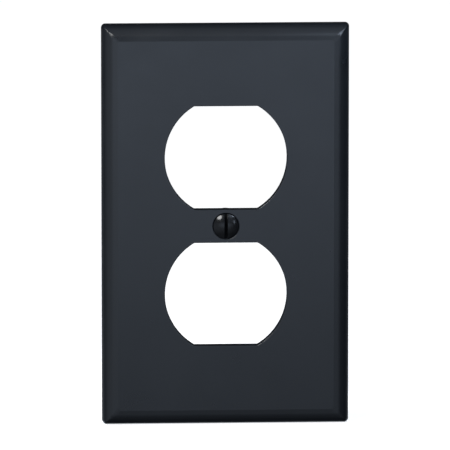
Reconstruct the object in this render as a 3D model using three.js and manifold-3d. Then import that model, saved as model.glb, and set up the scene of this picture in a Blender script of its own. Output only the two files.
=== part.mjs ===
// Duplex receptacle wall plate, standard one-gang size: the moulded plate, its
// oval-head slotted screw, and the washer that keeps the screw with the plate.
// Millimetres, +Z up. The wall is the plane y = 0 and the plate faces -Y, so a
// "height" below is a distance from the wall along -Y. The origin is the point
// where the screw's axis meets the wall.

import * as THREE from "three";
import { mergeVertices } from "three/addons/utils/BufferGeometryUtils.js";
import Module from "manifold-3d";

const INCH = 25.4;
const { degToRad, smoothstep } = THREE.MathUtils;

// Plate, outside
const PLATE_WIDTH = 2.75 * INCH;
const PLATE_HEIGHT = 4.5 * INCH;
const PLATE_DEPTH = 5.6;
const CORNER_RADIUS = 1.2;
const MITRE_RADIUS = 0.3; // what is left of the corner radius on the bevels
const SIDE_DRAFT = 0.12;
const SIDE_HEIGHT = 1.7;
const SHOULDER_INSET = 2.9;
const SHOULDER_ANGLE = 30;
const BEVEL_INSET = 4.5;
const BEVEL_ANGLE = 12;

// Plate, inside
const FACE_THICKNESS = 2.4;
const RIM_THICKNESS = 2.0;
const RIM_DRAFT = 0.5;
const RIB_THICKNESS = 1.2;
const RIB_HEIGHT = 1.1;
const STRAP_RIB_OFFSET = 17;

// Openings for the two receptacle faces
const OPENING_DIAMETER = 34.4;
const OPENING_FLATS = 29.4;
const OPENING_SPACING = 1.531 * INCH;
const COLLAR_THICKNESS = 1.5;
const COLLAR_HEIGHT = 0.8;

// Screw hole, countersunk for the screw's head
const CLEARANCE_RADIUS = 2.0;
const COUNTERSINK_HALF_ANGLE = 41;
const COUNTERSINK_GAP = 0.3;
const BOSS_RADIUS = 4.6;
const BOSS_HEIGHT = 2.3;

// Screw, 6-32 by half an inch
const HEAD_RADIUS = 3.55;
const HEAD_LAND = 0.12;
const DOME_HEIGHT = 1.2;
const SLOT_WIDTH = 0.9;
const SLOT_DEPTH = 1.45;
const SCREW_LENGTH = 0.5 * INCH;
const THREAD_PITCH = INCH / 32;
const THREAD_RADIUS = 0.138 * INCH / 2;
const THREAD_DEPTH = 0.45;
const CREST_SHARE = 0.1; // share of the half pitch that is flat at the crest
const ROOT_SHARE = 0.1; // share of the half pitch that is flat at the root
const TIP_CHAMFER = 0.5;

// Washer pushed on the thread behind the plate
const WASHER_RADIUS = 4.0;
const WASHER_BORE_RADIUS = 1.95;
const WASHER_THICKNESS = 0.5;
const WASHER_TRAVEL = 2.5;
const STOP_GAP = 0.3; // what is left between washer and boss at the end of the travel

// Fineness of the round stretches
const CORNER_SEGMENTS = 5;
const SHOULDER_SEGMENTS = 6;
const ARC_SEGMENTS = 20;
const ROUND_SEGMENTS = 36;
const DOME_SEGMENTS = 6;
const THREAD_SEGMENTS = 20;
const ROWS_PER_PITCH = 5;

const CUT_MARGIN = 1; // how far a cutter reaches past what it cuts
const JOIN_OVERLAP = 0.2; // how far one piece of a solid sinks into the piece it joins
const CAVITY_FLOOR = PLATE_DEPTH - FACE_THICKNESS;
const BOSS_END = CAVITY_FLOOR - BOSS_HEIGHT;
const COUNTERSINK_SPREAD = Math.tan(degToRad(COUNTERSINK_HALF_ANGLE));

const wasm = await Module();
wasm.setup();

function solidOf(geometry) {
  const bare = geometry.clone();
  bare.deleteAttribute("normal");
  bare.deleteAttribute("uv");
  const merged = mergeVertices(bare, 1e-4);
  return new wasm.Manifold(
    new wasm.Mesh({
      numProp: 3,
      vertProperties: new Float32Array(merged.attributes.position.array),
      triVerts: new Uint32Array(merged.index.array),
    }),
  );
}

function geometryOf(solid) {
  const mesh = solid.getMesh();
  const geometry = new THREE.BufferGeometry();
  geometry.setAttribute("position", new THREE.BufferAttribute(mesh.vertProperties, 3));
  geometry.setIndex(new THREE.BufferAttribute(mesh.triVerts, 1));
  const faceted = geometry.toNonIndexed();
  faceted.computeVertexNormals();
  return faceted;
}

// A closed skin over rings that all have the same number of points. The rings
// run anticlockwise as seen from in front of the plate, from the wall outwards.
function loft(rings) {
  const count = rings[0].length;
  const last = rings.length - 1;
  const points = rings.flat();
  const middle = (ring) =>
    ring.reduce((sum, p) => sum.add(p), new THREE.Vector3()).divideScalar(count);
  const startMiddle = points.push(middle(rings[0])) - 1;
  const endMiddle = points.push(middle(rings[last])) - 1;
  const index = [];
  for (let i = 0; i < count; i += 1) {
    const next = (i + 1) % count;
    for (let r = 0; r < last; r += 1) {
      const a = r * count + i;
      const b = r * count + next;
      index.push(a, b, b + count, a, b + count, a + count);
    }
    index.push(startMiddle, next, i);
    index.push(endMiddle, last * count + i, last * count + next);
  }
  const geometry = new THREE.BufferGeometry().setFromPoints(points);
  geometry.setIndex(index);
  return solidOf(geometry);
}

// The plate's outline moved in by an inset, at a height.
function outlineRing(inset, height) {
  const radius = Math.max(CORNER_RADIUS - inset, MITRE_RADIUS);
  const x = PLATE_WIDTH / 2 - inset - radius;
  const z = PLATE_HEIGHT / 2 - inset - radius;
  const corners = [[x, z], [-x, z], [-x, -z], [x, -z]];
  const ring = [];
  corners.forEach(([cornerX, cornerZ], quarter) => {
    for (let step = 0; step <= CORNER_SEGMENTS; step += 1) {
      const angle = (quarter + step / CORNER_SEGMENTS) * (Math.PI / 2);
      ring.push(new THREE.Vector3(
        cornerX + radius * Math.cos(angle),
        -height,
        cornerZ + radius * Math.sin(angle),
      ));
    }
  });
  return ring;
}

// A shape drawn in x and z, extruded from one height to another.
function prism(shape, fromHeight, toHeight) {
  const geometry = new THREE.ExtrudeGeometry(shape, {
    depth: toHeight - fromHeight,
    bevelEnabled: false,
    curveSegments: ARC_SEGMENTS,
  });
  return solidOf(geometry.rotateX(Math.PI / 2).translate(0, -fromHeight, 0));
}

function box([lowX, highX], [lowHeight, highHeight], [lowZ, highZ]) {
  const geometry = new THREE.BoxGeometry(highX - lowX, highHeight - lowHeight, highZ - lowZ);
  geometry.translate((lowX + highX) / 2, -(lowHeight + highHeight) / 2, (lowZ + highZ) / 2);
  return solidOf(geometry);
}

// A profile of [radius, height] points turned about the screw's axis.
function turned(profile) {
  const points = profile.map(([radius, height]) => new THREE.Vector2(radius, height));
  return solidOf(new THREE.LatheGeometry(points, ROUND_SEGMENTS).rotateX(Math.PI));
}

// A circle with its top and bottom cut flat: the outline of one receptacle face.
function openingShape(centreZ, grow) {
  const radius = OPENING_DIAMETER / 2 + grow;
  const flat = OPENING_FLATS / 2 + grow;
  const reach = Math.asin(flat / radius);
  const shape = new THREE.Shape();
  shape.absarc(0, centreZ, radius, -reach, reach, false);
  shape.absarc(0, centreZ, radius, Math.PI - reach, Math.PI + reach, false);
  return shape;
}

// Rim, rounded shoulder, shallow bevel and flat face, as one closed block.
function plateOutside() {
  const bevelDrop = (BEVEL_INSET - SHOULDER_INSET) * Math.tan(degToRad(BEVEL_ANGLE));
  const shoulderTop = PLATE_DEPTH - bevelDrop;
  const shoulderDrop = (SHOULDER_INSET - SIDE_DRAFT) * Math.tan(degToRad(SHOULDER_ANGLE));
  const shoulder = new THREE.QuadraticBezierCurve(
    new THREE.Vector2(SIDE_DRAFT, SIDE_HEIGHT),
    new THREE.Vector2(SIDE_DRAFT, shoulderTop - shoulderDrop),
    new THREE.Vector2(SHOULDER_INSET, shoulderTop),
  );
  const profile = [
    new THREE.Vector2(0, 0),
    ...shoulder.getPoints(SHOULDER_SEGMENTS),
    new THREE.Vector2(BEVEL_INSET, PLATE_DEPTH),
  ];
  return loft(profile.map(({ x: inset, y: height }) => outlineRing(inset, height)));
}

function plateCavity() {
  const draftPerHeight = RIM_DRAFT / CAVITY_FLOOR;
  return loft([
    outlineRing(RIM_THICKNESS - CUT_MARGIN * draftPerHeight, -CUT_MARGIN),
    outlineRing(RIM_THICKNESS + RIM_DRAFT, CAVITY_FLOOR),
  ]);
}

// The low wall behind the face that follows one opening's edge.
function collar(centreZ) {
  const shape = openingShape(centreZ, COLLAR_THICKNESS);
  return prism(shape, CAVITY_FLOOR - COLLAR_HEIGHT, CAVITY_FLOOR + JOIN_OVERLAP);
}

// In each quarter, one rib from the collar to the rim's side and one from the
// collar to the rim's end, beside the receptacle's strap.
function ribs() {
  const heights = [CAVITY_FLOOR - RIB_HEIGHT, CAVITY_FLOOR + JOIN_OVERLAP];
  const openingZ = OPENING_SPACING / 2;
  const half = RIB_THICKNESS / 2;
  const collarSide = (OPENING_DIAMETER + COLLAR_THICKNESS) / 2;
  const collarEnd = openingZ + OPENING_FLATS / 4;
  const rimSide = PLATE_WIDTH / 2 - RIM_THICKNESS;
  const rimEnd = PLATE_HEIGHT / 2 - RIM_THICKNESS;
  const ordered = (sign, low, high) => (sign > 0 ? [low, high] : [-high, -low]);
  const found = [];
  for (const signX of [-1, 1]) {
    for (const signZ of [-1, 1]) {
      const acrossX = ordered(signX, collarSide, rimSide);
      const acrossZ = ordered(signZ, openingZ - half, openingZ + half);
      found.push(box(acrossX, heights, acrossZ));
      const alongX = ordered(signX, STRAP_RIB_OFFSET - half, STRAP_RIB_OFFSET + half);
      const alongZ = ordered(signZ, collarEnd, rimEnd);
      found.push(box(alongX, heights, alongZ));
    }
  }
  return found;
}

function boss() {
  const top = CAVITY_FLOOR + JOIN_OVERLAP;
  return turned([[0, BOSS_END], [BOSS_RADIUS, BOSS_END], [BOSS_RADIUS, top], [0, top]]);
}

function screwHole() {
  const mouth = HEAD_RADIUS + COUNTERSINK_GAP;
  const coneHeight = (mouth - CLEARANCE_RADIUS) / COUNTERSINK_SPREAD;
  return turned([
    [0, -CUT_MARGIN],
    [CLEARANCE_RADIUS, -CUT_MARGIN],
    [CLEARANCE_RADIUS, PLATE_DEPTH - coneHeight],
    [mouth, PLATE_DEPTH],
    [mouth, PLATE_DEPTH + CUT_MARGIN],
    [0, PLATE_DEPTH + CUT_MARGIN],
  ]);
}

function wallPlate() {
  const centres = [-OPENING_SPACING / 2, OPENING_SPACING / 2];
  let plate = plateOutside().subtract(plateCavity());
  for (const piece of [...centres.map(collar), ...ribs(), boss()]) {
    plate = plate.add(piece);
  }
  for (const centreZ of centres) {
    const opening = openingShape(centreZ, 0);
    plate = plate.subtract(prism(opening, -CUT_MARGIN, PLATE_DEPTH + CUT_MARGIN));
  }
  return plate.subtract(screwHole());
}

// The right-hand thread: a bar whose radius follows a helix, chamfered at its tip.
function thread(fromHeight, toHeight) {
  const rows = Math.ceil((toHeight - fromHeight) / THREAD_PITCH * ROWS_PER_PITCH);
  const rings = [];
  for (let row = 0; row <= rows; row += 1) {
    const height = fromHeight + (toHeight - fromHeight) * row / rows;
    const tipLimit = THREAD_RADIUS - TIP_CHAMFER + (height - fromHeight);
    const ring = [];
    for (let i = 0; i < THREAD_SEGMENTS; i += 1) {
      const angle = i / THREAD_SEGMENTS * 2 * Math.PI;
      const turns = height / THREAD_PITCH - i / THREAD_SEGMENTS;
      const fromCrest = Math.abs(turns - Math.round(turns)) * 2;
      const cut = THREAD_DEPTH * smoothstep(fromCrest, CREST_SHARE, 1 - ROOT_SHARE);
      const radius = Math.min(THREAD_RADIUS - cut, tipLimit);
      ring.push(new THREE.Vector3(radius * Math.cos(angle), -height, radius * Math.sin(angle)));
    }
    rings.push(ring);
  }
  return loft(rings);
}

// The oval head's dome, from the edge of the head to its crown.
function domeProfile() {
  const radius = (HEAD_RADIUS ** 2 + DOME_HEIGHT ** 2) / (2 * DOME_HEIGHT);
  const reach = Math.asin(HEAD_RADIUS / radius);
  const profile = [];
  for (let step = 0; step < DOME_SEGMENTS; step += 1) {
    const angle = reach * (1 - step / DOME_SEGMENTS);
    const drop = radius * (1 - Math.cos(angle));
    profile.push([radius * Math.sin(angle), PLATE_DEPTH + DOME_HEIGHT - drop]);
  }
  return [...profile, [0, PLATE_DEPTH + DOME_HEIGHT]];
}

function plateScrew() {
  const neck = THREAD_RADIUS - THREAD_DEPTH;
  const landHeight = PLATE_DEPTH - HEAD_LAND;
  const neckHeight = landHeight - (HEAD_RADIUS - neck) / COUNTERSINK_SPREAD;
  const head = turned([
    [0, neckHeight - JOIN_OVERLAP],
    [neck, neckHeight - JOIN_OVERLAP],
    [neck, neckHeight],
    [HEAD_RADIUS, landHeight],
    ...domeProfile(),
  ]);
  const crown = PLATE_DEPTH + DOME_HEIGHT;
  const slot = box(
    [-SLOT_WIDTH / 2, SLOT_WIDTH / 2],
    [crown - SLOT_DEPTH, crown + CUT_MARGIN],
    [-HEAD_RADIUS - CUT_MARGIN, HEAD_RADIUS + CUT_MARGIN],
  );
  return head.add(thread(PLATE_DEPTH - SCREW_LENGTH, neckHeight)).subtract(slot);
}

function retainingWasher() {
  const front = BOSS_END - STOP_GAP - WASHER_TRAVEL;
  const back = front - WASHER_THICKNESS;
  return turned([
    [WASHER_BORE_RADIUS, back],
    [WASHER_RADIUS, back],
    [WASHER_RADIUS, front],
    [WASHER_BORE_RADIUS, front],
    [WASHER_BORE_RADIUS, back],
  ]);
}

const blackPlastic = new THREE.MeshStandardMaterial({ color: 0x1d2024, roughness: 0.42, metalness: 0 });
const blackPaint = new THREE.MeshStandardMaterial({ color: 0x0e0f11, roughness: 0.25, metalness: 0.2 });
const naturalNylon = new THREE.MeshStandardMaterial({ color: 0xd9d4c5, roughness: 0.5, metalness: 0 });

const assembly = new THREE.Group();
const pieces = [
  ["wall_plate", wallPlate(), blackPlastic],
  ["plate_screw", plateScrew(), blackPaint],
  ["retaining_washer", retainingWasher(), naturalNylon],
];
for (const [name, solid, material] of pieces) {
  const mesh = new THREE.Mesh(geometryOf(solid), material);
  mesh.name = name;
  assembly.add(mesh);
}

export default assembly;
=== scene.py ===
"""The looks of a duplex receptacle wall plate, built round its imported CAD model.

Solids are drawn in millimetres, as the CAD is: x across, z up, and a height that is
the distance from the wall towards -Y. finish_piece() turns them into metres.
"""

import math

import bmesh
import bpy
from mathutils import Matrix, Vector


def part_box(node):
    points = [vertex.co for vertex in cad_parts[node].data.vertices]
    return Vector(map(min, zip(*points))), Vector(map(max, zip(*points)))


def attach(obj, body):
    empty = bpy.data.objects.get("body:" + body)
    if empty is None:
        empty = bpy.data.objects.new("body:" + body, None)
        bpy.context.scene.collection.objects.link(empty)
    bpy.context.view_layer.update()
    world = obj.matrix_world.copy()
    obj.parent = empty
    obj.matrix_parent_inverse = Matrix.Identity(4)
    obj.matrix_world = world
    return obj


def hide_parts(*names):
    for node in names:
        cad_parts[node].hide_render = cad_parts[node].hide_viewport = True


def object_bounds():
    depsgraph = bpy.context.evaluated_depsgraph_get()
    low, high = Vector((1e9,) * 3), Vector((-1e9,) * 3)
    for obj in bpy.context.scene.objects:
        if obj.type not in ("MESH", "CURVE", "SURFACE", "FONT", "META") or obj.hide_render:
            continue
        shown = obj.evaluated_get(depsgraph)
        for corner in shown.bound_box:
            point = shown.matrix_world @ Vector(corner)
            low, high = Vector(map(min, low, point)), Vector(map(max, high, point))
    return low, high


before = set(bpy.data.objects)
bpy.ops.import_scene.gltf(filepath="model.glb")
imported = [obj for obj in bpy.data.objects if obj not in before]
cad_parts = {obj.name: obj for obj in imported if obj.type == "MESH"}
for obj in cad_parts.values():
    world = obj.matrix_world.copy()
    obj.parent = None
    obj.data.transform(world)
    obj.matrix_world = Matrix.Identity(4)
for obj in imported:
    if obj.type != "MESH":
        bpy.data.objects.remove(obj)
cad_low, cad_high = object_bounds()

MM = 0.001
INCH = 25.4


def heights_and_size(node):
    """A node's width, lowest height, highest height and length along z, in millimetres."""
    low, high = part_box(node)
    return (high.x - low.x) / MM, -high.y / MM, -low.y / MM, (high.z - low.z) / MM


# Plate, outside. A corner radius is given for each inset from the plate's edge.
PLATE_WIDTH, _, PLATE_DEPTH, PLATE_HEIGHT = heights_and_size("wall_plate")
SIDE_DRAFT = 0.12
SIDE_HEIGHT = 1.7
SHOULDER_INSET = 2.9
SHOULDER_ANGLE = math.radians(30)
BEVEL_INSET = 4.5
BEVEL_ANGLE = math.radians(12)
CREASE_RADIUS = 3.0
FACE_EDGE_RADIUS = 0.8
RIM_EDGE_RADIUS = 0.25
CORNER_RADII = ((0, 1.2), (1.0, 0.15), (1.8, 0.15), (2.3, 0.9), (BEVEL_INSET, 0.9))

# Plate, inside
FACE_THICKNESS = 2.4
RIM_THICKNESS = 2.0
RIM_DRAFT = 0.5
CAVITY_CORNER_RADIUS = 1.0
FLOOR_RADIUS = 0.6
RIB_THICKNESS = 1.2
RIB_HEIGHT = 1.1
RIB_EDGE_RADIUS = 0.2
RIB_DRAFT = 0.06
STRAP_RIB_OFFSET = 17
CAVITY_FLOOR = PLATE_DEPTH - FACE_THICKNESS

# Marks of the mould's ejector pins, behind the face
EJECTOR_RADIUS = 2.2
EJECTOR_DEPTH = 0.12
EJECTOR_X = 26
EJECTOR_HEIGHTS = (6, 33, 48)

# Openings
OPENING_RADIUS = 17.2
OPENING_FLAT = 14.7
OPENING_SPACING = 1.531 * INCH
OPENING_CORNER_RADIUS = 0.7
OPENING_EDGE_RADIUS = 0.22
COLLAR_THICKNESS = 1.5
COLLAR_HEIGHT = 0.8
COLLAR_EDGE_RADIUS = 0.25

# Screw hole
CLEARANCE_RADIUS = 2.0
COUNTERSINK_ANGLE = math.radians(41)
COUNTERSINK_GAP = 0.3
MOUTH_EDGE_RADIUS = 0.15
BOSS_RADIUS = 4.6
BOSS_HEIGHT = 2.3
BOSS_EDGE_RADIUS = 0.3

# Screw, with a 6-32 thread. The neck is where the head's cone meets the thread's root.
HEAD_WIDTH, SCREW_TIP, CROWN, _ = heights_and_size("plate_screw")
HEAD_RADIUS = HEAD_WIDTH / 2
HEAD_LAND = 0.12
HEAD_EDGE_RADIUS = 0.07
DOME_HEIGHT = CROWN - PLATE_DEPTH
SLOT_WIDTH = 0.9
SLOT_DEPTH = 1.45
SLOT_EDGE_RADIUS = 0.07
THREAD_PITCH = INCH / 32
THREAD_RADIUS = 0.138 * INCH / 2
THREAD_DEPTH = 0.47
THREAD_ROOT_SHARE = 1 / 4
THREAD_CREST_SHARE = 1 / 8
TIP_CHAMFER = 0.5
TIP_SLOPE = 0.9
NEAR_ROOT_SHARE = 0.15
NEAR_ROOT_DEPTH = THREAD_DEPTH * 0.93
NEAR_CREST_SHARE = 0.9
NEAR_CREST_DEPTH = THREAD_DEPTH * 0.08
NECK_RADIUS = THREAD_RADIUS - THREAD_DEPTH
NECK_HEIGHT = PLATE_DEPTH - HEAD_LAND - (HEAD_RADIUS - NECK_RADIUS) / math.tan(COUNTERSINK_ANGLE)

# Washer
WASHER_WIDTH, WASHER_BACK, WASHER_FRONT, _ = heights_and_size("retaining_washer")
WASHER_GAP = 0.06
WASHER_BORE_RADIUS = THREAD_RADIUS + WASHER_GAP
WASHER_EDGE_RADIUS = 0.1
WASHER_CUP = 0.12

# Camera, in metres: far off, a little above the plate and a little to its left
CAMERA_DISTANCE = 2.2
CAMERA_AZIMUTH = math.radians(-2.8)
CAMERA_ELEVATION = math.radians(9.5)
VIEW_WIDTH = 0.1268
AIM_OFFSET = Vector((-0.00015, 0, -0.0001))

# Floor, in metres, and the strength of its glow near the plate and far from it
FLOOR_MIDDLE = 0.02
FLOOR_FLAT = 2.4
FLOOR_SWEEP = 1.4
FLOOR_RISE = 4.0
GLOW_START = 0.3
GLOW_END = 2.0
NEAR_GLOW = 0.82
FAR_GLOW = 1.05

# Lights: the colour of most of them, and points that they are aimed at, in metres
COOL = (0.80, 0.94, 1.16)
MIDDLE = (0, 0, 0)
TOP_EDGE = (0.03, 0, 0.055)
TOP_RIGHT_CORNER = (0.033, 0, 0.055)

# Steps of curves
FILLET_STEPS = 5
CREASE_STEPS = 8
CORNER_STEPS = 12
SHOULDER_STEPS = 16
SWEEP_STEPS = 24
DOME_STEPS = 28
ARC_STEPS = 40
SLOT_STEPS = 48
THREAD_STEPS = 72
CIRCLE_STEPS = 96

# How far a joined solid reaches into its neighbour, how far a cutter runs past what it cuts,
# and how far apart two places may be and still count as one
REACH = 0.2
HEAD_REACH = 0.3
OVERRUN = 1
SLOT_OVERRUN = 0.5
SAME_PLACE = 0.00001
TOLERANCE = 0.001


# Drawing solids

def rounded_path(corners, steps=FILLET_STEPS):
    """Points along a path of (u, v, radius) corners, each corner rounded by its radius."""
    points = []
    for i, (u, v, radius) in enumerate(corners):
        corner = Vector((u, v))
        if radius == 0 or i in (0, len(corners) - 1):
            points.append(corner)
            continue
        back = (Vector(corners[i - 1][:2]) - corner).normalized()
        ahead = (Vector(corners[i + 1][:2]) - corner).normalized()
        half_turn = (math.pi - back.angle(ahead)) / 2
        reach = radius * math.tan(half_turn)
        centre = corner + (back + ahead).normalized() * radius / math.cos(half_turn)
        start = corner + back * reach - centre
        turn = math.copysign(2 * half_turn, back.x * ahead.y - back.y * ahead.x)
        for step in range(steps + 1):
            points.append(centre + start @ Matrix.Rotation(turn * step / steps, 2))
    kept = points[:1]
    for point in points[1:]:
        if (point - kept[-1]).length > SAME_PLACE:
            kept.append(point)
    return kept


def arc(centre_x, centre_z, radius, start, end, steps):
    """Points of an arc in x and z, both ends included."""
    angles = [start + (end - start) * step / steps for step in range(steps + 1)]
    return [(centre_x + radius * math.cos(a), centre_z + radius * math.sin(a)) for a in angles]


def ring_at(outline, height):
    """An outline in x and z, set at a height."""
    return [(x, -height, z) for x, z in outline]


def rings_along(outline_at, path):
    """A ring for each (value, height) point of a path, its outline drawn from the value."""
    return [ring_at(outline_at(value), height) for value, height in path]


def corner_radius(inset):
    """The radius of the outline's corners: a sharp mitre on the edge, softer along the crease."""
    for (low, first), (high, second) in zip(CORNER_RADII, CORNER_RADII[1:]):
        if inset <= high:
            share = max((inset - low) / (high - low), 0)
            return first + (second - first) * share * share * (3 - 2 * share)
    return CORNER_RADII[-1][1]


def plate_outline(inset, radius):
    """The plate's outline moved in by an inset, with corners of a radius."""
    x = PLATE_WIDTH / 2 - inset - radius
    z = PLATE_HEIGHT / 2 - inset - radius
    outline = []
    for quarter, (sign_x, sign_z) in enumerate(((1, 1), (-1, 1), (-1, -1), (1, -1))):
        start = quarter * math.pi / 2
        outline += arc(sign_x * x, sign_z * z, radius, start, start + math.pi / 2, CORNER_STEPS)
    return outline


def opening_outline(centre_z, grow):
    """A circle with its top and bottom cut flat, its four corners rounded, moved out by grow."""
    radius, flat = OPENING_RADIUS, OPENING_FLAT
    corner_z = flat - OPENING_CORNER_RADIUS
    corner_x = math.sqrt((radius - OPENING_CORNER_RADIUS) ** 2 - corner_z ** 2)
    reach = math.atan2(corner_z, corner_x)
    small = OPENING_CORNER_RADIUS + grow
    outline = []
    for side, sign in ((0, 1), (math.pi, -1)):
        x = sign * corner_x
        first_z = centre_z - sign * corner_z
        last_z = centre_z + sign * corner_z
        outline += arc(x, first_z, small, side - math.pi / 2, side - reach, CORNER_STEPS)[:-1]
        outline += arc(0, centre_z, radius + grow, side - reach, side + reach, ARC_STEPS)
        outline += arc(x, last_z, small, side + reach, side + math.pi / 2, CORNER_STEPS)[1:]
    return outline


def circle_outline(radius, x=0, z=0):
    """A circle about a point."""
    return arc(x, z, radius, 0, 2 * math.pi, CIRCLE_STEPS)[:-1]


def solid(name, points, faces):
    """An object of one closed mesh, its faces turned outwards."""
    mesh = bpy.data.meshes.new(name)
    mesh.from_pydata([tuple(p) for p in points], [], faces)
    drawn = bmesh.new()
    drawn.from_mesh(mesh)
    bmesh.ops.recalc_face_normals(drawn, faces=drawn.faces)
    drawn.to_mesh(mesh)
    drawn.free()
    made = bpy.data.objects.new(name, mesh)
    bpy.context.scene.collection.objects.link(made)
    return made


def loft(name, rings, closed=False):
    """A skin over rings of the same number of points, capped flat or closed on itself."""
    count, total = len(rings[0]), len(rings)
    faces = []
    for r in range(total if closed else total - 1):
        above = (r + 1) % total
        for i in range(count):
            j = (i + 1) % count
            faces.append((r * count + i, r * count + j, above * count + j, above * count + i))
    if not closed:
        faces.append(tuple(range(count)))
        faces.append(tuple(range((total - 1) * count, total * count)))
    return solid(name, [point for ring in rings for point in ring], faces)


def turned(name, path, closed=False, x=0, z=0):
    """A path of (radius, height) points turned about an axis that is square to the wall."""
    return loft(name, rings_along(lambda radius: circle_outline(radius, x, z), path), closed)


def combine(base, tool, operation):
    """Joins a tool to the base, or cuts it, and uses the tool up."""
    modifier = base.modifiers.new("combine", "BOOLEAN")
    modifier.object = tool
    modifier.operation = operation
    modifier.solver = "EXACT"
    bpy.context.view_layer.update()
    depsgraph = bpy.context.evaluated_depsgraph_get()
    mesh = bpy.data.meshes.new_from_object(base.evaluated_get(depsgraph))
    base.modifiers.clear()
    base.data = mesh
    bpy.data.objects.remove(tool)
    return base


def finish_piece(piece, node, body, sharp_angle):
    """Scales a piece to metres, shades it and puts it in the CAD node's place.

    Faces that meet at more than sharp_angle degrees keep a sharp edge.
    """
    mesh = piece.data
    mesh.transform(Matrix.Scale(MM, 4))
    mesh.shade_smooth()
    mesh.set_sharp_from_angle(angle=math.radians(sharp_angle))
    weighted = piece.modifiers.new("even shading", "WEIGHTED_NORMAL")
    weighted.keep_sharp = True
    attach(piece, body)
    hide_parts(node)


# Wall plate

def cavity_path():
    """Inset and height, from the cavity's floor down its walls to the middle of the rim."""
    wall = RIM_THICKNESS + RIM_DRAFT
    return rounded_path([
        (wall + 2 * FLOOR_RADIUS, CAVITY_FLOOR, 0),
        (wall, CAVITY_FLOOR, FLOOR_RADIUS),
        (RIM_THICKNESS, 0, RIM_EDGE_RADIUS),
        (RIM_THICKNESS / 2, 0, 0),
    ])


def outside_path():
    """Inset and height, from the middle of the rim, up the side and the shoulder, to the face."""
    bevel_drop = (BEVEL_INSET - SHOULDER_INSET) * math.tan(BEVEL_ANGLE)
    shoulder_top = PLATE_DEPTH - bevel_drop
    shoulder_drop = (SHOULDER_INSET - SIDE_DRAFT) * math.tan(SHOULDER_ANGLE)
    side = Vector((SIDE_DRAFT, SIDE_HEIGHT))
    pull = Vector((SIDE_DRAFT, shoulder_top - shoulder_drop))
    top = Vector((SHOULDER_INSET, shoulder_top))
    path = rounded_path([
        (RIM_THICKNESS / 2, 0, 0),
        (0, 0, RIM_EDGE_RADIUS),
        (*side, 0),
    ])[1:]
    for step in range(1, SHOULDER_STEPS):
        t = step / SHOULDER_STEPS
        path.append(side * (1 - t) ** 2 + pull * 2 * t * (1 - t) + top * t ** 2)
    return path + rounded_path([
        (*path[-1], 0),
        (*top, CREASE_RADIUS),
        (BEVEL_INSET, PLATE_DEPTH, FACE_EDGE_RADIUS),
        (BEVEL_INSET + FACE_EDGE_RADIUS, PLATE_DEPTH, 0),
    ], steps=CREASE_STEPS)[1:]


def plate_shell():
    """From the cavity's floor, down its walls, round the rim and the edge, to the face."""
    rings = rings_along(lambda inset: plate_outline(inset, CAVITY_CORNER_RADIUS), cavity_path())
    rings += rings_along(lambda inset: plate_outline(inset, corner_radius(inset)), outside_path())
    return loft("wall_plate_shell", rings)


def collar(centre_z):
    """The raised border round an opening, behind the face."""
    end = CAVITY_FLOOR - COLLAR_HEIGHT
    path = rounded_path([
        (COLLAR_THICKNESS - 2 * COLLAR_EDGE_RADIUS, end, 0),
        (COLLAR_THICKNESS, end, COLLAR_EDGE_RADIUS),
        (COLLAR_THICKNESS, CAVITY_FLOOR + REACH, 0),
    ])
    return loft("collar", rings_along(lambda grow: opening_outline(centre_z, grow), path))


def rib_section():
    """A rib's section: across, and height."""
    half = RIB_THICKNESS / 2
    root = CAVITY_FLOOR + REACH
    crest = CAVITY_FLOOR - RIB_HEIGHT
    narrow = half - RIB_DRAFT
    return rounded_path([
        (half, root, 0),
        (narrow, crest, RIB_EDGE_RADIUS),
        (-narrow, crest, RIB_EDGE_RADIUS),
        (-half, root, 0),
    ])


def ribs():
    """In each quarter, a rib from collar to side rim and one from collar to end rim."""
    section = rib_section()
    opening_z = OPENING_SPACING / 2
    side_span = (OPENING_RADIUS + COLLAR_THICKNESS / 2, PLATE_WIDTH / 2 - RIM_THICKNESS)
    end_span = (opening_z + OPENING_FLAT / 2, PLATE_HEIGHT / 2 - RIM_THICKNESS)
    found = []
    for sign_x in (-1, 1):
        for sign_z in (-1, 1):
            centre_z = sign_z * opening_z
            across = [[(sign_x * x, -h, centre_z + u) for u, h in section] for x in side_span]
            found.append(loft("side_rib", across))
            offset = sign_x * STRAP_RIB_OFFSET
            along = [[(offset + u, -h, sign_z * z) for u, h in section] for z in end_span]
            found.append(loft("end_rib", along))
    return found


def boss():
    """The round boss behind the screw hole."""
    end = CAVITY_FLOOR - BOSS_HEIGHT
    return turned("boss", rounded_path([
        (BOSS_RADIUS - 2 * BOSS_EDGE_RADIUS, end, 0),
        (BOSS_RADIUS, end, BOSS_EDGE_RADIUS),
        (BOSS_RADIUS, CAVITY_FLOOR + REACH, 0),
    ]))


def opening_cutter(centre_z):
    """Cuts one opening, with its front and back edges rounded over."""
    back = CAVITY_FLOOR - COLLAR_HEIGHT
    path = rounded_path([
        (COLLAR_EDGE_RADIUS, back - OVERRUN, 0),
        (COLLAR_EDGE_RADIUS, back, 0),
        (0, back, COLLAR_EDGE_RADIUS),
        (0, PLATE_DEPTH, OPENING_EDGE_RADIUS),
        (OPENING_EDGE_RADIUS, PLATE_DEPTH, 0),
        (OPENING_EDGE_RADIUS, PLATE_DEPTH + OVERRUN, 0),
    ])
    return loft("opening", rings_along(lambda grow: opening_outline(centre_z, grow), path))


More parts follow.
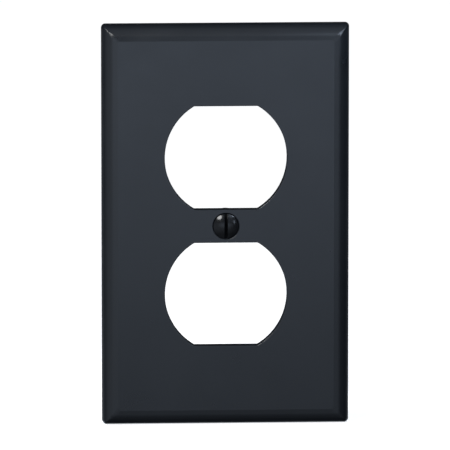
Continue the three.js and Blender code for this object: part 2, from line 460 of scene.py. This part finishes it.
def hole_cutter():
    """Cuts the countersunk screw hole, with its mouth rounded over."""
    back = CAVITY_FLOOR - BOSS_HEIGHT
    mouth = HEAD_RADIUS + COUNTERSINK_GAP
    cone_height = (mouth - CLEARANCE_RADIUS) / math.tan(COUNTERSINK_ANGLE)
    round_over = MOUTH_EDGE_RADIUS * math.tan((math.pi / 2 - COUNTERSINK_ANGLE) / 2)
    return turned("screw_hole", rounded_path([
        (CLEARANCE_RADIUS + MOUTH_EDGE_RADIUS, back - OVERRUN, 0),
        (CLEARANCE_RADIUS + MOUTH_EDGE_RADIUS, back, 0),
        (CLEARANCE_RADIUS, back, MOUTH_EDGE_RADIUS),
        (CLEARANCE_RADIUS, PLATE_DEPTH - cone_height, 0),
        (mouth, PLATE_DEPTH, MOUTH_EDGE_RADIUS),
        (mouth + round_over, PLATE_DEPTH, 0),
        (mouth + round_over, PLATE_DEPTH + OVERRUN, 0),
    ]))


def ejector_marks():
    """Cut the shallow round marks that the mould's ejector pins leave behind the face."""
    path = [
        (EJECTOR_RADIUS, CAVITY_FLOOR - OVERRUN),
        (EJECTOR_RADIUS, CAVITY_FLOOR),
        (EJECTOR_RADIUS - EJECTOR_DEPTH, CAVITY_FLOOR + EJECTOR_DEPTH),
    ]
    found = []
    for x in (-EJECTOR_X, EJECTOR_X):
        for z in EJECTOR_HEIGHTS:
            for sign_z in (-1, 1):
                found.append(turned("ejector_mark", path, x=x, z=sign_z * z))
    return found


def make_wall_plate(material):
    """The moulding: the shell with what is raised behind its face, less its holes and marks."""
    centres = (-OPENING_SPACING / 2, OPENING_SPACING / 2)
    plate = plate_shell()
    for tool in [*map(collar, centres), *ribs(), boss()]:
        combine(plate, tool, "UNION")
    for tool in [*map(opening_cutter, centres), hole_cutter(), *ejector_marks()]:
        combine(plate, tool, "DIFFERENCE")
    plate.name = "wall_plate_moulding"
    plate.data.materials.append(material)
    finish_piece(plate, "wall_plate", "plate", sharp_angle=30)


# Plate screw

def dome_height(radius):
    """The height of the head's dome at a distance from the screw's axis."""
    sphere = (HEAD_RADIUS ** 2 + DOME_HEIGHT ** 2) / (2 * DOME_HEIGHT)
    inside = min(radius, HEAD_RADIUS)
    return CROWN - sphere + math.sqrt(sphere ** 2 - inside ** 2)


def screw_head():
    """From the neck, up the cone and the thin land round it, to the dome."""
    first = HEAD_RADIUS * (1 - 1 / DOME_STEPS)
    path = rounded_path([
        (NECK_RADIUS, NECK_HEIGHT - HEAD_REACH, 0),
        (NECK_RADIUS, NECK_HEIGHT, 0),
        (HEAD_RADIUS, PLATE_DEPTH - HEAD_LAND, HEAD_EDGE_RADIUS),
        (HEAD_RADIUS, PLATE_DEPTH, HEAD_EDGE_RADIUS),
        (first, dome_height(first), 0),
    ])
    for step in range(2, DOME_STEPS):
        radius = HEAD_RADIUS * (1 - step / DOME_STEPS)
        path.append((radius, dome_height(radius)))
    return turned("screw_head", path)


def slot_cutter():
    """Cuts the slot, with its edges rounded over all along the dome."""
    half = SLOT_WIDTH / 2
    floor = CROWN - SLOT_DEPTH
    reach = HEAD_RADIUS + SLOT_OVERRUN
    rings = []
    for step in range(SLOT_STEPS + 1):
        z = reach * (2 * step / SLOT_STEPS - 1)
        surface = dome_height(math.hypot(half, z))
        side = rounded_path([
            (0, floor, 0),
            (half, floor, SLOT_EDGE_RADIUS),
            (half, surface, SLOT_EDGE_RADIUS),
            (half + SLOT_EDGE_RADIUS, surface, 0),
            (half + SLOT_EDGE_RADIUS, CROWN + OVERRUN, 0),
        ])
        section = side + [Vector((-x, height)) for x, height in reversed(side[1:])]
        rings.append([(x, -height, z) for x, height in section])
    return loft("slot", rings)


def thread_form():
    """One pitch of the thread: share of the pitch along the axis, and depth below the crest.

    Each flank bends near the root and near the crest, which rounds them a little.
    """
    flank = (1 - THREAD_ROOT_SHARE - THREAD_CREST_SHARE) / 2
    rise = THREAD_ROOT_SHARE
    fall = THREAD_ROOT_SHARE + flank + THREAD_CREST_SHARE
    return [
        (0, THREAD_DEPTH),
        (rise, THREAD_DEPTH),
        (rise + flank * NEAR_ROOT_SHARE, NEAR_ROOT_DEPTH),
        (rise + flank * NEAR_CREST_SHARE, NEAR_CREST_DEPTH),
        (rise + flank, 0),
        (fall, 0),
        (fall + flank * (1 - NEAR_CREST_SHARE), NEAR_CREST_DEPTH),
        (fall + flank * (1 - NEAR_ROOT_SHARE), NEAR_ROOT_DEPTH),
    ]


def thread_bar(low, high):
    """A right-hand thread on a bar, its strip wound turn on turn, with a fan over each end."""
    per_turn = THREAD_STEPS
    form = thread_form()
    turns = math.ceil((high - low) / THREAD_PITCH) + 1
    points = []
    for i in range((turns + 1) * per_turn + 1):
        angle = 2 * math.pi * i / per_turn
        for share, depth in form:
            height = low + THREAD_PITCH * (i / per_turn + share - 1)
            radius = THREAD_RADIUS - depth
            points.append((radius * math.cos(angle), -height, radius * math.sin(angle)))

    def index(i, j):
        """Point j of the form at step i; past the form's end it is the next turn's point."""
        return (i + per_turn * (j // len(form))) * len(form) + j % len(form)

    faces = []
    last = turns * per_turn
    for i in range(last):
        for j in range(len(form)):
            faces.append((index(i, j), index(i + 1, j), index(i + 1, j + 1), index(i, j + 1)))
    for start, height in ((0, low - THREAD_PITCH / 2), (last, low + (turns + 0.5) * THREAD_PITCH)):
        loop = [index(start + i, 0) for i in range(per_turn)]
        loop += [index(start, j) for j in range(len(form), 0, -1)]
        points.append((0, -height, 0))
        middle = len(points) - 1
        for a, b in zip(loop, loop[1:] + loop[:1]):
            faces.append((middle, a, b))
    return trimmed_mesh(solid("thread", points, faces))


def trimmed_mesh(piece):
    """Drops the points that no face uses."""
    drawn = bmesh.new()
    drawn.from_mesh(piece.data)
    loose = [v for v in drawn.verts if not v.link_faces]
    bmesh.ops.delete(drawn, geom=loose, context="VERTS")
    drawn.to_mesh(piece.data)
    drawn.free()
    return piece


def thread_envelope(low, high):
    """What the thread is trimmed to: a bar with a chamfered tip."""
    tip = THREAD_RADIUS - TIP_CHAMFER
    wide = THREAD_RADIUS + TIP_CHAMFER
    return turned("thread_envelope", [
        (tip, low),
        (wide, low + (wide - tip) * TIP_SLOPE),
        (wide, high),
    ])


def dress_screw(mesh, head_paint, plating, slot_shade):
    """Paints the head, plates the thread, and gives the slot below its rounded edges a darker
    black as painted shade.
    """
    mesh.materials.clear()
    for material in (head_paint, plating, slot_shade):
        mesh.materials.append(material)
    for face in mesh.polygons:
        x, y, z = face.center
        in_slot = abs(x) < SLOT_WIDTH / 2 + TOLERANCE
        slot_top = dome_height(math.hypot(x, z)) - 2 * SLOT_EDGE_RADIUS
        if -y < NECK_HEIGHT:
            face.material_index = 1
        # faces down in the slot get the darker black of painted shade
        elif in_slot and -y < slot_top:
            face.material_index = 2


def make_plate_screw(head_paint, plating, slot_shade):
    """A threaded shank joined to a slotted oval head."""
    envelope = thread_envelope(SCREW_TIP, NECK_HEIGHT)
    shank = combine(thread_bar(SCREW_TIP, NECK_HEIGHT), envelope, "INTERSECT")
    screw = combine(screw_head(), shank, "UNION")
    combine(screw, slot_cutter(), "DIFFERENCE")
    screw.name = "plate_screw_turned"
    dress_screw(screw.data, head_paint, plating, slot_shade)
    finish_piece(screw, "plate_screw", "screw", sharp_angle=35)


# Retaining washer

def make_retaining_washer(material):
    """A thin ring, cupped a little where it was pushed over the thread."""
    outer = WASHER_WIDTH / 2
    middle = (WASHER_BORE_RADIUS + outer) / 2
    section = rounded_path([
        (middle, WASHER_BACK, 0),
        (outer, WASHER_BACK, WASHER_EDGE_RADIUS),
        (outer, WASHER_FRONT, WASHER_EDGE_RADIUS),
        (WASHER_BORE_RADIUS, WASHER_FRONT, WASHER_EDGE_RADIUS),
        (WASHER_BORE_RADIUS, WASHER_BACK, WASHER_EDGE_RADIUS),
        (middle, WASHER_BACK, 0),
    ])[:-1]
    cupped = []
    for radius, height in section:
        inwards = (outer - radius) / (outer - WASHER_BORE_RADIUS)
        cupped.append((radius, height - WASHER_CUP * inwards ** 2))
    washer = turned("retaining_washer_ring", cupped, closed=True)
    washer.data.materials.append(material)
    finish_piece(washer, "retaining_washer", "washer", sharp_angle=40)


# Materials

# Inputs whose names aren't just a key's words with capitals
SOCKETS = {"specular_ior_level": "Specular IOR Level"}


def new_material(name, **inputs):
    """A material of one Principled BSDF with its inputs set, its node tree and its shader."""
    material = bpy.data.materials.new(name)
    material.use_nodes = True
    shader = material.node_tree.nodes["Principled BSDF"]
    for key, value in inputs.items():
        socket = SOCKETS.get(key, key.replace("_", " ").title())
        shader.inputs[socket].default_value = value
    return material, material.node_tree, shader


def noise(tree, scale, detail=2.0, roughness=0.5):
    """Noise in the piece's own coordinates, in features per metre."""
    place = tree.nodes.new("ShaderNodeTexCoord")
    texture = tree.nodes.new("ShaderNodeTexNoise")
    texture.inputs["Scale"].default_value = scale
    texture.inputs["Detail"].default_value = detail
    texture.inputs["Roughness"].default_value = roughness
    tree.links.new(place.outputs["Object"], texture.inputs["Vector"])
    return texture.outputs["Fac"]


def ranged(tree, source, low, high, from_low=0.3, from_high=0.7):
    """A value moved from one range to low and high, and held inside them.

    The range it comes from is noise's own, unless one is given.
    """
    node = tree.nodes.new("ShaderNodeMapRange")
    node.inputs["From Min"].default_value = from_low
    node.inputs["From Max"].default_value = from_high
    node.inputs["To Min"].default_value = low
    node.inputs["To Max"].default_value = high
    tree.links.new(source, node.inputs["Value"])
    return node.outputs["Result"]


def blended(tree, factor, first, second):
    """A colour between two colours."""
    node = tree.nodes.new("ShaderNodeMix")
    node.data_type = "RGBA"
    node.inputs["A"].default_value = (*first, 1)
    node.inputs["B"].default_value = (*second, 1)
    tree.links.new(factor, node.inputs["Factor"])
    return node.outputs["Result"]


def add_bump(tree, shader, heights, distance):
    """Bumps the shader by one or more (height source, strength) pairs."""
    normal = None
    for source, strength in heights:
        bump = tree.nodes.new("ShaderNodeBump")
        bump.inputs["Strength"].default_value = strength
        bump.inputs["Distance"].default_value = distance
        tree.links.new(source, bump.inputs["Height"])
        if normal:
            tree.links.new(normal, bump.inputs["Normal"])
        normal = bump.outputs["Normal"]
    tree.links.new(normal, shader.inputs["Normal"])


def plate_plastic():
    """Blue-black moulded plastic: satin, with a fine grain and a faint unevenness of gloss."""
    material, tree, shader = new_material("plate_plastic")
    flow = noise(tree, 38, detail=3)
    grain = noise(tree, 5200, detail=2)
    peel = noise(tree, 420, detail=1)
    tone = ranged(tree, flow, 0, 1)
    colour = blended(tree, tone, (0.0085, 0.0100, 0.0125), (0.0105, 0.0122, 0.0150))
    tree.links.new(colour, shader.inputs["Base Color"])
    gloss = ranged(tree, noise(tree, 95, detail=4, roughness=0.65), 0.27, 0.34)
    tree.links.new(gloss, shader.inputs["Roughness"])
    add_bump(tree, shader, [(peel, 0.10), (grain, 0.06)], 0.00004)
    return material


def screw_paint():
    """Glossy black enamel over steel, thick enough to soften what is under it."""
    material, tree, shader = new_material("screw_paint", specular_ior_level=0.30)
    tone = ranged(tree, noise(tree, 900, detail=3), 0, 1)
    colour = blended(tree, tone, (0.0045, 0.0048, 0.0055), (0.0065, 0.0068, 0.0075))
    tree.links.new(colour, shader.inputs["Base Color"])
    gloss = ranged(tree, noise(tree, 1600, detail=4), 0.14, 0.22)
    tree.links.new(gloss, shader.inputs["Roughness"])
    runs = noise(tree, 1400, detail=2)
    grain = noise(tree, 7000)
    add_bump(tree, shader, [(runs, 0.12), (grain, 0.05)], 0.00003)
    return material


def slot_shade_paint():
    """Painted shade at the bottom of the slot: a darker, duller black than the head's enamel, with
    little shine.
    """
    material, tree, shader = new_material("slot_shade_paint", roughness=0.8, specular_ior_level=0.12)
    tone = ranged(tree, noise(tree, 2400, detail=3), 0, 1)
    colour = blended(tree, tone, (0.0022, 0.0024, 0.0028), (0.0042, 0.0045, 0.0050))
    tree.links.new(colour, shader.inputs["Base Color"])
    add_bump(tree, shader, [(noise(tree, 4200, detail=3), 0.25)], 0.00003)
    return material


def zinc_plating():
    """Bright zinc on the thread, uneven in tone and gloss."""
    material, tree, shader = new_material("zinc_plating", metallic=1.0)
    tone = ranged(tree, noise(tree, 2600, detail=4), 0, 1)
    colour = blended(tree, tone, (0.42, 0.43, 0.45), (0.62, 0.63, 0.66))
    tree.links.new(colour, shader.inputs["Base Color"])
    gloss = ranged(tree, noise(tree, 5200, detail=3), 0.24, 0.42)
    tree.links.new(gloss, shader.inputs["Roughness"])
    add_bump(tree, shader, [(noise(tree, 9000, detail=2), 0.15)], 0.00002)
    return material


def washer_nylon():
    """Natural nylon: milky and slightly uneven."""
    material, tree, shader = new_material("washer_nylon", roughness=0.45)
    tone = ranged(tree, noise(tree, 700, detail=3), 0, 1)
    colour = blended(tree, tone, (0.66, 0.63, 0.55), (0.76, 0.74, 0.67))
    tree.links.new(colour, shader.inputs["Base Color"])
    add_bump(tree, shader, [(noise(tree, 3500, detail=3), 0.15)], 0.00003)
    return material


# Stage

def floor_path():
    """Radius and height, from the middle of the floor, out and up its wall."""
    path = [(FLOOR_MIDDLE, 0), (FLOOR_FLAT, 0)]
    for step in range(1, SWEEP_STEPS + 1):
        angle = step / SWEEP_STEPS * math.pi / 2
        radius = FLOOR_FLAT + FLOOR_SWEEP * math.sin(angle)
        height = FLOOR_SWEEP * (1 - math.cos(angle))
        path.append((radius, height))
    path.append((FLOOR_FLAT + FLOOR_SWEEP, FLOOR_RISE))
    return path


def floor_white():
    """Plain white that also glows, more so far from the plate, where the lights don't reach."""
    material, tree, shader = new_material(
        "floor_white", base_color=(0.9, 0.9, 0.9, 1), roughness=0.9, emission_color=(1, 1, 1, 1))
    place = tree.nodes.new("ShaderNodeTexCoord")
    distance = tree.nodes.new("ShaderNodeVectorMath")
    distance.operation = "LENGTH"
    tree.links.new(place.outputs["Object"], distance.inputs[0])
    glow = ranged(tree, distance.outputs["Value"], NEAR_GLOW, FAR_GLOW, GLOW_START, GLOW_END)
    tree.links.new(glow, shader.inputs["Emission Strength"])
    return material


def make_floor():
    """A white floor that curves up into a wall all round, seen by the camera, lighting nothing."""
    path = floor_path()
    points, faces = [(0, 0, cad_low.z)], []
    for radius, height in path:
        points += [(x, y, cad_low.z + height) for x, y in circle_outline(radius)]
    for i in range(CIRCLE_STEPS):
        j = (i + 1) % CIRCLE_STEPS
        faces.append((0, 1 + i, 1 + j))
        for r in range(len(path) - 1):
            inner, outer = 1 + r * CIRCLE_STEPS, 1 + (r + 1) * CIRCLE_STEPS
            faces.append((inner + i, outer + i, outer + j, inner + j))
    mesh = bpy.data.meshes.new("floor")
    mesh.from_pydata(points, [], faces)
    mesh.shade_smooth()
    floor = bpy.data.objects.new("floor", mesh)
    bpy.context.scene.collection.objects.link(floor)
    mesh.materials.append(floor_white())
    floor.visible_diffuse = False
    floor.visible_glossy = False
    floor.visible_transmission = False
    floor.visible_shadow = False


def softbox(name, place, aim, size, radiance, colour=(1, 1, 1), soft_edge=False):
    """An elliptical area light of a given brightness, aimed at a point.

    A soft edge fades it from a fifth of the way out to nothing at its rim.
    """
    light = bpy.data.lights.new(name, "AREA")
    light.shape = "ELLIPSE"
    light.size, light.size_y = size
    area = math.pi / 4 * light.size * light.size_y
    light.energy = radiance * math.pi * area
    light.color = colour
    if soft_edge:
        light.use_nodes = True
        tree = light.node_tree
        across = tree.nodes.new("ShaderNodeNewGeometry")
        offset = tree.nodes.new("ShaderNodeVectorMath")
        offset.operation = "DISTANCE"
        offset.inputs[1].default_value = (0.5, 0.5, 0)
        tree.links.new(across.outputs["Parametric"], offset.inputs[0])
        strength = ranged(tree, offset.outputs["Value"], 1, 0, 0.1, 0.5)
        tree.links.new(strength, tree.nodes["Emission"].inputs["Strength"])
    lamp = bpy.data.objects.new(name, light)
    lamp.location = place
    lamp.rotation_euler = (Vector(aim) - Vector(place)).to_track_quat("-Z", "Y").to_euler()
    lamp.visible_camera = False
    bpy.context.scene.collection.objects.link(lamp)


def make_lights():
    """A broad panel in front, a key at the upper left, and small lights for edges and glints."""
    softbox("front_panel", place=(0, -0.36, 0.009), aim=(0, 0, 0.009), size=(0.7, 0.26),
            radiance=0.98, colour=COOL, soft_edge=True)
    softbox("key", place=(-0.256, -0.272, 0.317), aim=MIDDLE, size=(0.20, 0.20), radiance=21.0)
    softbox("right_fill", place=(0.405, -0.345, 0.137), aim=MIDDLE, size=(0.08, 0.16),
            radiance=5.0, colour=COOL)
    softbox("corner_fill", place=(0.0766, -0.044, 0.0843), aim=TOP_RIGHT_CORNER,
            size=(0.016, 0.016), radiance=29.0, colour=COOL)
    softbox("right_glow", place=(0.19, -0.43, 0.21), aim=MIDDLE, size=(0.36, 0.22),
            radiance=0.5, colour=COOL, soft_edge=True)
    softbox("top_glow", place=(0.085, -0.074, 0.122), aim=TOP_EDGE, size=(0.16, 0.10),
            radiance=2.6, colour=COOL, soft_edge=True)


def joined(tree, operation, first, second):
    """Two values joined by a Math node's operation."""
    node = tree.nodes.new("ShaderNodeMath")
    node.operation = operation
    tree.links.new(first, node.inputs[0])
    tree.links.new(second, node.inputs[1])
    return node.outputs["Value"]


def make_world():
    """A dim room in front of the plate, near black behind it but for a bright band low down.

    x, y and z are a direction's own: to the right, away behind the plate, and up.
    """
    world = bpy.data.worlds.new("room")
    bpy.context.scene.world = world
    world.use_nodes = True
    tree = world.node_tree
    place = tree.nodes.new("ShaderNodeTexCoord")
    split = tree.nodes.new("ShaderNodeSeparateXYZ")
    tree.links.new(place.outputs["Generated"], split.inputs["Vector"])
    x, y, z = split.outputs
    darker_right = ranged(tree, x, 1.0, 0.15, 0.2, 0.9)
    darker_far_left = ranged(tree, x, 0.85, 1.0, -1.0, -0.7)
    darker_straight_ahead = ranged(tree, y, 0.48, 1.0, -0.99, -0.9)
    darker_below = ranged(tree, z, 0.3, 1.0, -0.75, -0.3)
    darker_above_level = ranged(tree, z, 0.95, 0.3, 0.0, 0.28)
    brighter_overhead = ranged(tree, z, 1.0, 2.0, 0.35, 0.6)
    black_behind = ranged(tree, y, 1.0, 0.02, -0.25, 0.15)
    front = darker_right
    for share in (darker_far_left, darker_straight_ahead, darker_below,
                  darker_above_level, brighter_overhead, black_behind):
        front = joined(tree, "MULTIPLY", front, share)
    band = ranged(tree, y, 0.0, 2.6, 0.3, 0.6)
    band_top = ranged(tree, z, 1.0, 0.0, -0.34, -0.17)
    band_foot = ranged(tree, z, 0.1, 1.0, -0.7, -0.45)
    for share in (band_top, band_foot):
        band = joined(tree, "MULTIPLY", band, share)
    background = tree.nodes["Background"]
    background.inputs["Color"].default_value = (0.46, 0.52, 0.60, 1)
    tree.links.new(joined(tree, "ADD", front, band), background.inputs["Strength"])


def make_camera():
    """A long lens aimed at the middle of the plate, with its view's width set there."""
    lens = bpy.data.cameras.new("camera")
    lens.lens = lens.sensor_width * CAMERA_DISTANCE / VIEW_WIDTH
    lens.clip_end = 100
    camera = bpy.data.objects.new("camera", lens)
    bpy.context.scene.collection.objects.link(camera)
    back = Vector((
        math.sin(CAMERA_AZIMUTH) * math.cos(CAMERA_ELEVATION),
        -math.cos(CAMERA_AZIMUTH) * math.cos(CAMERA_ELEVATION),
        math.sin(CAMERA_ELEVATION),
    ))
    low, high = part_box("wall_plate")
    camera.location = (low + high) / 2 + AIM_OFFSET + back * CAMERA_DISTANCE
    camera.rotation_euler = (-back).to_track_quat("-Z", "Y").to_euler()
    bpy.context.scene.camera = camera


make_camera()
make_wall_plate(plate_plastic())
make_plate_screw(screw_paint(), zinc_plating(), slot_shade_paint())
make_retaining_washer(washer_nylon())
make_floor()
make_lights()
make_world()
bpy.context.scene.view_settings.view_transform = "Standard"
